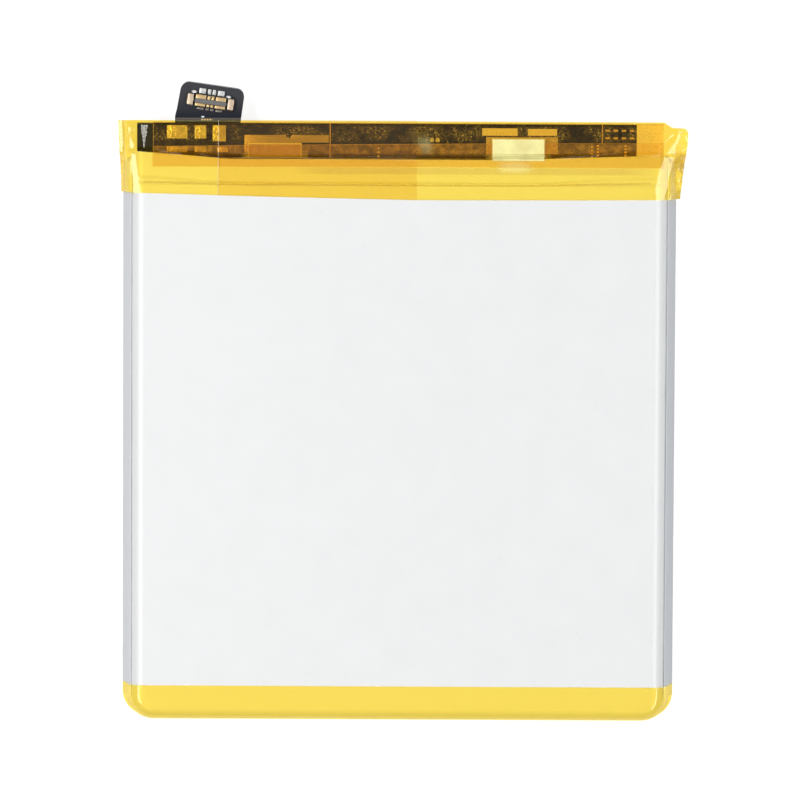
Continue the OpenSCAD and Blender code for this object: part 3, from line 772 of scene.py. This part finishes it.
ear = {
    "leftStart": [(27.2, -28.75), (32.0, -29.45), (35.5, -30.05)],
    "leftEnd": [(27.2, -29.7), (32.0, -30.15), (35.5, -30.6)],
    "leftTip": [(27.2, -31.11), (30.8, -31.23), (34.0, -31.39), (35.5, -31.43)],
    "rightStart": [(27.2, 28.45), (28.3, 28.35), (30.3, 28.8), (32.2, 29.5), (33.8, 30.7),
                   (35.5, 31.2)],
    "rightEnd": [(27.2, 29.5), (28.3, 29.9), (30.3, 30.25), (32.2, 30.7), (33.8, 31.2),
                 (35.5, 31.5)],
    "rightTip": [(27.2, 31.35), (33.3, 32.1), (34.4, 32.15), (34.8, 31.9), (35.5, 31.75)],
    "pitch": 0.26, "rightPitch": 0.235, "pad": -28.5, "lip": 0.45,
    "flatLeft": -28.7, "flatRight": 28.3,
    "leftMargin": 0.25, "rightMargin": 0.9, "lipZ": 1.9, "lowLipZ": 0.75,
    "spanStart": 30.9, "spanLength": 4.0, "spanSink": 0.05, "looseFrom": 30.9, "looseBy": 31.9,
    "padFrom": 31.9, "padWidth": 0.2, "padWidens": (32.3, 3.0, 0.75),
    # how far past its sloping part each ear starts to crumple, how strongly, and how that fades
    "leftCrumple": (0.25, 0.22, 31.0, 0.2), "rightCrumple": (0.1, 0.26, 31.5, 0.16), "crumpleStart": 0.35,
}


def earLines(x, y):  # where the ear starts to slope, where it falls away, and its tip
    side = "left" if x < 0 else "right"
    return [abs(between(ear[side + part], y)) for part in ("Start", "End", "Tip")]


def looseness(y):  # past the pouch nothing holds the ears up
    return smooth((y - ear["looseFrom"]) / (ear["looseBy"] - ear["looseFrom"]))


def headFront(x, y, lift=0.0):  # inner face of the wide tape's front, ears included
    over = film["thick"] + film["gap"] if y > headEdgeY - 0.85 else 0.0     # it rides up on the strip
    z = paneHeight(min(max(x, ear["flatLeft"]), ear["flatRight"]), y, lift + over)
    start, end, tip = earLines(x, y)
    far = abs(x)
    margin = ear["leftMargin"] if x < 0 else ear["rightMargin"]
    if far > start - margin:   # beside the board the film spans the step in one long slope
        level = faceZ + film["gap"] + lift + over - ear["spanSink"]
        part = max(0.0, min(1.0, (y - ear["spanStart"]) / ear["spanLength"]))
        spanned = level - (level - bayZ - lift - over) * part
        z += max(0.0, spanned - z) * smooth((far - start + margin) / margin)
    z = slopeDown(y, z, endY - film["farRound"], endY, film["farDrop"])
    widenFrom, widenOver, widenBy = ear["padWidens"]
    wide = ear["padWidth"] + widenBy * smooth((y - widenFrom) / widenOver)
    if y > ear["padFrom"] and x < 0:   # a sloping facet over the black end of the board's carrier
        z -= ear["pitch"] * max(0.0, min(ear["pad"] + wide / 2 - x, wide))
    if far > start:
        z -= ear["pitch" if x < 0 else "rightPitch"] * (min(far, end) - start)
    if far > end:
        free = looseness(y)
        held = between([(end, z), (max(end + 0.05, 30.25), 3.85), (30.62, 2.6), (31.02, 0.95),
                        (tip, ear["lowLipZ"])], far)
        loose = between([(end, z), (end + 0.3, ear["lipZ"] + 0.5), (tip - ear["lip"], ear["lipZ"] + 0.1),
                         (tip, ear["lipZ"])], far)
        z = held * (1 - free) + loose * free
    return z


def headBack(x, y):  # the same film under the cell
    tip = earLines(x, y)[2]
    far = abs(x)
    free = looseness(y)
    foot = film["thick"]
    held = between([(31.03, foot), (tip, ear["lowLipZ"] - 0.08)], far)
    loose = between([(29.2, foot), (30.3, 0.9), (tip - ear["lip"], ear["lipZ"] - 0.05),
                     (tip, ear["lipZ"] - 0.1)], far)
    return held * (1 - free) + loose * free


nearEdge = [(-31.2, 27.54), (-20.3, 27.27), (-13.3, 27.09), (1.8, 26.8), (19, 26.85), (31.3, 26.95)]
cutCorner = [(0, 40), (29.5, 35.44), (30.4, 34.85), (31.8, 34.8), (32.2, 34.4)]


def lowerEdge(x):  # where the tape's front ends on the cell's face
    return between(nearEdge, x)


def makeHeadFilm():  # a sock over the head, made from a box without its near end
    piece = newBox("headFilm", (-1, 0, 0), (1, 1, 1))
    pick(piece, "FACE", lambda c, n: n.y < -0.9)
    dropPicked()
    wideCuts = [i / 26 * 0.87 for i in range(27)] + [0.88 + 0.004 * i for i in range(5)]
    earCuts = [0.9 + 0.0035 * i for i in range(28)]
    cutAt(piece, "X", sorted({round(s * t, 4) for s in (-1, 1) for t in wideCuts + earCuts}))
    creaseCuts = [0.102 + 0.0067 * i for i in range(20)]
    cutAt(piece, "Y", [0.035 * i for i in range(1, 29)] + creaseCuts)
    cutAt(piece, "Z", [0.25, 0.5, 0.75])

    def rule(p):
        u, v, w = p
        y = lowerEdge(u * 30) + (endY - film["thick"] - lowerEdge(u * 30)) * v
        tip = abs(between(ear["leftTip" if u < 0 else "rightTip"], y))
        if u > 0:   # the far right corner is cut back
            y = min(y, between(cutCorner, u * tip))
        x = u * tip
        top = headFront(x, y)
        bottom = headBack(x, y)
        end = earLines(x, y)[1]
        calm, strength, fadeFrom, fade = ear["rightCrumple" if u > 0 else "leftCrumple"]
        crumple = smooth((abs(x) - end - calm) / ear["crumpleStart"]) * (
            strength - fade * smooth(y - fadeFrom))
        crease = crumple * (ripple(y * 1.3, x * 2.2, 1.1, 4.0) + 0.5 * ripple(y * 2.9, x * 5.0, 1.1, 8.0))
        z = bottom + (top - bottom) * w
        return x + crease * 0.4 * (1 - abs(2 * w - 1)), y, z + crease * w
    shape(piece, rule)
    outward(piece)
    return finishFilm(piece, film["thick"], 1.0, (headFilm, filmInside), ["head_tape"], 25)


makeHeadFilm()


def makePatchFilm():
    x0, x1 = patchLow.x, patchHigh.x
    lift = film["thick"] + film["gap"]
    frontPart, foot = 0.8, 0.5      # the rest of the sheet hangs down the far side to this height

    def rule(u, v):
        x = x0 + (x1 - x0) * u
        near = between([(x0, 27.2), (-13.3, 27.09), (x1, 26.8)], x)
        if v < frontPart:
            y = near + (endY - near) * v / frontPart
            return x, y, headFront(x, y, lift)
        t = (v - frontPart) / (1 - frontPart)
        return x, endY + 0.012, headFront(x, endY, lift) * (1 - t) + foot * t
    piece = newSheet("patchFilm", 40, 45)
    lay(piece, rule)
    return finishFilm(piece, film["thick"], 1.0, (patchFilm, filmInside), ["head_patch_tape"], 40)


makePatchFilm()


def makeTailFilm():  # a cap over the tail that follows the pouch and its side folds
    edge = sealHigh.x + 0.04
    low = (-edge, tailLow.y, tailLow.z)
    high = (edge, tailLow.y + 12, faceZ + film["gap"] + film["thick"])
    piece = newBox("tailFilm", low, high)
    top = high[2]
    pick(piece, "VERT", lambda p: p.z > top - 0.1)
    bpy.ops.transform.resize(value=(0.9655, 1, 1), center_override=(0, 0, top * mm))
    pick(piece, "EDGE", lambda a, b: max(a.y, b.y) < low[1] + 0.1 and abs(a.z - b.z) > 1)
    bevelPicked(pouch["tailCorner"] + 0.3, 10)
    pick(piece, "EDGE", lambda a, b: min(a.z, b.z) > top - 0.01 and min(a.y, b.y) < high[1] - 0.1)
    bevelPicked(pouch["sideRound"] + 0.03, 9)
    pick(piece, "EDGE", lambda a, b: max(a.z, b.z) < low[2] + 0.01 and min(a.y, b.y) < high[1] - 0.1)
    bevelPicked(0.25, 3)
    keepSide(piece, (0, tailHigh.y, 0), (0, 1, 0))
    cutAt(piece, "X", list(range(-28, 29, 4)))
    return finishFilm(piece, film["thick"], -1.0, (tailFilm, filmInside), ["tail_tape"], 40)


makeTailFilm()
print("films made")


# ---- CAD nodes that keep their shape ----

kept = {
    "pouch_back_film": laminate, "anode_sheets": graphite, "cathode_sheets": oxide,
    "separator": separatorWhite, "stack_fixing_tapes": fixGreen, "anode_foil_bundle": copper,
    "cathode_foil_bundle": bareAluminium, "negative_tab": negativeTab, "positive_tab": brightTab,
    "tab_sealants": milky, "protection_board": boardMask, "board_spacer": stripBlack, "test_pads": longPad,
    "front_resistors": chipBlack, "resistor_terminals": gold, "gauge_chip": gaugeBrown,
    "front_diode": chipBlack, "filter_chip": chipBlack, "mosfets": chipBlack,
    "protection_chips": chipBlack, "capacitors": chipBrown, "sense_resistor": chipBlack,
    "thermistor": chipBrown, "fuse": chipCream, "carrier_stiffener": steel,
}
for nodeName, look in kept.items():
    node = frame["nodes"][nodeName]
    node.data.materials.clear()
    node.data.materials.append(look)
print("kept nodes dressed")


# ---- small rigid pieces: the CAD shape with its edges softened ----

def softened(name, node, width, look, body, angle=30):
    letGo()
    piece = frame["nodes"][node].copy()
    piece.data = piece.data.copy()
    piece.parent = None
    piece.matrix_world = Matrix.Identity(4)
    bpy.context.scene.collection.objects.link(piece)
    piece.name = piece.data.name = name
    hold(piece)
    bpy.ops.object.mode_set(mode="EDIT")
    bpy.ops.mesh.select_all(action="SELECT")
    bpy.ops.mesh.remove_doubles(threshold=1e-6)
    bpy.ops.mesh.dissolve_limited(angle_limit=math.radians(1))
    bpy.ops.object.mode_set(mode="OBJECT")
    bevelAll(piece, width, 3, angle)
    return finish(piece, body, look, [node], 40)


softened("plugHousing", "plug_housing", 0.04, resinBlack, "plug_head")
softened("plugAnchors", "plug_anchors", 0.07, anchorTan, "plug_head")
softened("solderLands", "solder_lands", 0.05, padGold, "cell")
softened("weldPlates", "weld_plates", 0.03, nickel, "cell")

plug = {"centre": (-21.13, 37.6), "turn": math.radians(-8), "blobs": ((-1.95, 0.84), (1.93, 0.78)),
        "blobHalf": (0.42, 0.3), "blobFoot": 3.03, "rib": (3.5, 0.5), "ribShift": 0.04,
        "powerAt": 1.12, "powerWide": 1.15, "signalAt": 0.22, "signalWide": 0.3,
        "upperRow": (0.4, 0.46), "lowerRow": (-0.48, 0.32)}    # each row's middle and depth


def onPlug(piece):  # from the plug's own axes to its place
    turn = Matrix.Rotation(plug["turn"], 3, "Z")
    centre = Vector((*plug["centre"], 0))
    shape(piece, lambda p: turn @ Vector(p) + centre)
    return piece


def leadLook():  # tinned leads, the near row brown with old flux
    look = Look("leadTin", (0.9, 0.9, 0.9), 0.25, Metallic=0.4)
    x, y, z = look.axes()
    turn = plug["turn"]
    across = (x - plug["centre"][0]) * math.sin(-turn) + (y - plug["centre"][1]) * math.cos(turn)
    patch = look.grain(5.0, 4.0, 0.6)
    tin = look.mix((patch * 1.8 - 0.5).clipped(), (0.97, 0.97, 0.96), (0.45, 0.45, 0.44))
    flux = look.mix(patch, (0.16, 0.13, 0.11), (0.4, 0.35, 0.3))
    look.set("Base Color", look.mix(look.band(across, -3, -0.5, 0.05), tin, flux))
    look.set("Roughness", 0.16 + patch * 0.25)
    look.bump(patch + look.grain(12.0), 0.5, 0.02)
    return look.material


def makeContacts(name, replaced, aside, width):  # one bevelled strip, then its copies
    low, high = boxOf("power_contacts")
    strips = []
    for u, v, deep in [(u, *plug[row]) for u in (-aside, aside) for row in ("upperRow", "lowerRow")]:
        if not strips:
            strip = newBox(name, (-width / 2, -0.5, low.z), (width / 2, 0.5, high.z - 0.01))
            bevelAll(strip, 0.05, 3)
            cutAt(strip, "X", [0.0])
        else:
            strip = strips[0].copy()
            strip.data = model.copy()
            bpy.context.scene.collection.objects.link(strip)
        if not strips:
            model = strip.data.copy()
        shape(strip, lambda p: (p.x + u, p.y * deep + v, p.z))
        strips.append(strip)
    piece = onPlug(joinAll(name, strips))
    return finish(piece, "plug_head", gold, replaced, 50)


def makeSolderBlobs():
    blobs = []
    housingTop = boxOf("plug_housing")[1].z
    foot = plug["blobFoot"]
    halfU, halfV = plug["blobHalf"]
    for number, (u, v) in enumerate(plug["blobs"]):
        low, high = (u - halfU, v - halfV, foot), (u + halfU, v + halfV, housingTop + 0.02)
        blob = newBox("blob%d" % number, low, high)
        pick(blob, "FACE", lambda c, n: n.z > 0.9)
        bpy.ops.transform.resize(value=(0.7, 0.62, 1))
        bpy.ops.object.mode_set(mode="OBJECT")
        rounded = blob.modifiers.new("rounded", "SUBSURF")
        rounded.levels = rounded.render_levels = 2
        applyAll(blob)
        shape(blob, lambda p: (p.x + 0.03 * ripple(p.x, p.y, 3.0, 2.0), p.y, max(p.z, foot - 0.008)))
        blobs.append(blob)
    piece = onPlug(joinAll("solderBlobs", blobs))
    return finish(piece, "plug_head", solder, angle=60)


def makePlugRib():  # the raised middle of the housing, between the two rows of contacts
    length, width = plug["rib"]
    top = boxOf("plug_housing")[1].z
    near, far = -width / 2 - plug["ribShift"], width / 2 - plug["ribShift"]
    piece = newBox("plugRib", (-length / 2, near, top - 0.2), (length / 2, far, top + 0.01))
    pick(piece, "FACE", lambda c, n: n.z > 0.9)
    bpy.ops.mesh.inset(thickness=0.04 * mm, depth=0.015 * mm)
    bpy.ops.object.mode_set(mode="OBJECT")
    cutAt(piece, "X", [-0.9, -0.86, 0.0, 0.86, 0.9])
    bevelAll(piece, 0.03, 2)
    return finish(onPlug(piece), "plug_head", ribGrey)


softened("plugLeads", "plug_leads", 0.04, leadLook(), "plug_head")
makeContacts("powerContacts", ["power_contacts"], plug["powerAt"], plug["powerWide"])
makeContacts("signalContacts", ["signal_contacts"], plug["signalAt"], plug["signalWide"])
makeSolderBlobs()
makePlugRib()
print("small pieces softened")


# ---- flex tail and its carrier ----

flex = {"turn": math.radians(-8), "round": 0.9, "grow": 3.55, "neck": 0.3, "spread": 0.045, "half": 0.16,
        "strip": (35.5, 35.84), "dots": (-22.3, -20.9), "shade": (36.0, 38.2), "spot": (-22.0, 35.93)}
joint = frame["joints"][0]
bend = Vector(joint["pos_m"]) / mm


def flexLook():  # black cover film, with a bare grey strip and a row of gold dots at the root
    look = Look("flexBlack", (0.01, 0.012, 0.02), 0.5)
    look.set("Specular IOR Level", 0.22)
    x, y, z = look.axes()
    grain = look.grain(3.0, 4.0, 0.6)
    dust = (look.grain(14.0, 2.0, 0.5) - 0.68).clipped() * 3.0
    low, high = flex["strip"]
    strip = look.band(y, low, high, 0.06)
    first, last = flex["dots"]
    dots = look.band(x, first, last, 0.05) * look.band(y, low + 0.02, low + 0.2, 0.05) * (
        look.sine(x * 21.0) * 4.0 + 1.5).clipped()
    cover = look.mix(grain, (0.003, 0.004, 0.012), (0.007, 0.009, 0.018))
    # the cover is painted lighter towards the plug end: a painted sheen
    cover = look.mix(((y - flex["shade"][0]) / (flex["shade"][1] - flex["shade"][0])).clipped(), cover,
                     look.mix(grain, (0.034, 0.035, 0.042), (0.046, 0.047, 0.053)))
    cover = look.mix(dust, cover, (0.12, 0.12, 0.13))
    cover = look.mix(strip, cover, (0.1, 0.09, 0.08))
    spotX, spotY = flex["spot"]
    spot = look.band(x, spotX - 0.2, spotX + 0.2, 0.1) * look.band(y, spotY - 0.1, spotY + 0.1, 0.06)
    cover = look.mix(dots, cover, (0.95, 0.7, 0.25))
    look.set("Base Color", look.mix(spot, cover, (0.8, 0.88, 0.95)))
    look.set("Roughness", 0.42 + grain * 0.15)
    look.bump(grain + look.grain(16.0), 0.2, 0.01)
    return look.material


flexBlack = flexLook()


def makeFlex():  # one thin film from the board to the end of the carrier
    thick = flexHigh.z - flexLow.z
    middle = (flexLow.x + flexHigh.x) / 2
    piece = newBox("flexFilm", (flexLow.x, flexLow.y, flexLow.z), (flexHigh.x, bend.y, flexHigh.z))
    pick(piece, "FACE", lambda c, n: n.y > 0.9)
    for step in (flex["neck"], flex["grow"] - flex["neck"]):
        bpy.ops.mesh.extrude_region_move(TRANSFORM_OT_translate={"value": (0, step * mm, 0)})
    bpy.ops.object.mode_set(mode="OBJECT")
    end = bend.y + flex["grow"]
    pick(piece, "EDGE", lambda a, b: min(a.y, b.y) > end - 0.01 and abs(a.z - b.z) > thick / 2)
    bevelPicked(flex["round"], 10)
    cutAt(piece, "X", [middle + 0.7 * i for i in range(-4, 5)])
    cutAt(piece, "Y", [bend.y + d for d in (-1.2, -0.9, -0.6)] + [bend.y + 0.06 * i for i in range(-5, 5)])
    centre = Vector((bend.x, bend.y, 0))

    def turn(p):  # the left edge kinks at the bend, and the right edge runs straight down
        flat = Vector((p.x - middle + bend.x, p.y, p.z)) - centre
        if flat.x < 0:
            flat.x *= 1 + flex["spread"] * (1 - flat.y / flex["grow"])
        turned = Matrix.Rotation(flex["turn"], 3, "Z") @ flat + centre
        side = smooth((p.x - middle + 1.5) / 4) * smooth((p.y - bend.y + 1.2) / 0.6)
        return Vector(p).lerp(turned, max(side, smooth((p.y - bend.y) / 0.3)))
    shape(piece, turn)
    outward(piece)
    finish(piece, None, flexBlack, ["flex_tail", "flex_carrier"], 30)
    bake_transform(piece)
    return piece


makeFlex()
print("flex made")


# ---- floor, light and camera ----

def makeStage():
    letGo()
    bpy.ops.mesh.primitive_plane_add(size=3, location=(0, 0, -0.00002))
    floor = bpy.context.object
    floor.name = "floor"
    look = Look("paleFloor", (0.35, 0.35, 0.35), 0.8, Emission_Strength=0.8)
    look.set("Emission Color", (1.0, 1.0, 1.0))
    floor.data.materials.append(look.material)


makeStage()


def softLight(name, angle, distance, size, length, power, along):
    lamp = bpy.data.lights.new(name, "AREA")
    lamp.shape = "RECTANGLE"
    lamp.size, lamp.size_y = size, length
    lamp.energy = power
    lampObject = bpy.data.objects.new(name, lamp)
    bpy.context.scene.collection.objects.link(lampObject)
    tilt = math.radians(angle)
    lampObject.location = (distance * math.sin(tilt), along, distance * math.cos(tilt))
    lampObject.rotation_euler = (0, tilt, 0)


# Each softbox: its angle from straight up, width, length, radiance, and place along the cell, in metres.
studio = {"zenith": 0.3, "horizon": 0.06, "distance": 0.62, "left": (-31, 0.14, 0.6, 9.7, 0.03),
          "right": (33, 0.12, 0.76, 6.7, -0.06)}
for name in ("left", "right"):
    angle, size, length, radiance, along = studio[name]
    power = radiance * size * length * math.pi
    softLight(name + "Softbox", angle, studio["distance"], size, length, power, along)


def makeSky():  # bright overhead and dim at the sides
    world = bpy.data.worlds.new("studio")
    bpy.context.scene.world = world
    world.use_nodes = True
    nodes, links = world.node_tree.nodes, world.node_tree.links
    coords = nodes.new("ShaderNodeTexCoord")
    split = nodes.new("ShaderNodeSeparateXYZ")
    rise = nodes.new("ShaderNodeMapRange")
    rise.inputs["To Min"].default_value = studio["horizon"]
    rise.inputs["To Max"].default_value = studio["zenith"]
    links.new(coords.outputs["Generated"], split.inputs[0])
    links.new(split.outputs["Z"], rise.inputs["Value"])
    links.new(rise.outputs[0], nodes["Background"].inputs["Strength"])
    nodes["Background"].inputs["Color"].default_value = (1, 1, 1, 1)


makeSky()

view = {"tilt": 4.0, "roll": 0.28, "distance": 0.62, "fill": 0.0893, "aimX": 0.14, "aimY": 4.48,
        "sensor": 36.0}


def makeCamera():
    camera = bpy.data.cameras.new("camera")
    cameraObject = bpy.data.objects.new("camera", camera)
    bpy.context.scene.collection.objects.link(cameraObject)
    tilt = math.radians(view["tilt"])
    aim = Vector((view["aimX"] * mm, view["aimY"] * mm, faceZ * mm))
    away = Vector((0, math.sin(tilt), math.cos(tilt)))
    cameraObject.location = aim + away * view["distance"]
    turn = Matrix.Rotation(-tilt, 4, "X") @ Matrix.Rotation(math.radians(view["roll"]), 4, "Z")
    cameraObject.rotation_euler = turn.to_euler()
    camera.sensor_width = view["sensor"]
    camera.lens = view["sensor"] * view["distance"] / view["fill"]
    camera.clip_start = 0.01
    camera.clip_end = 20.0
    bpy.context.scene.camera = cameraObject


makeCamera()
bpy.context.scene.view_settings.view_transform = "Standard"
bpy.context.scene.cycles.transparent_max_bounces = 24
bpy.context.view_layer.update()
print("studio made")
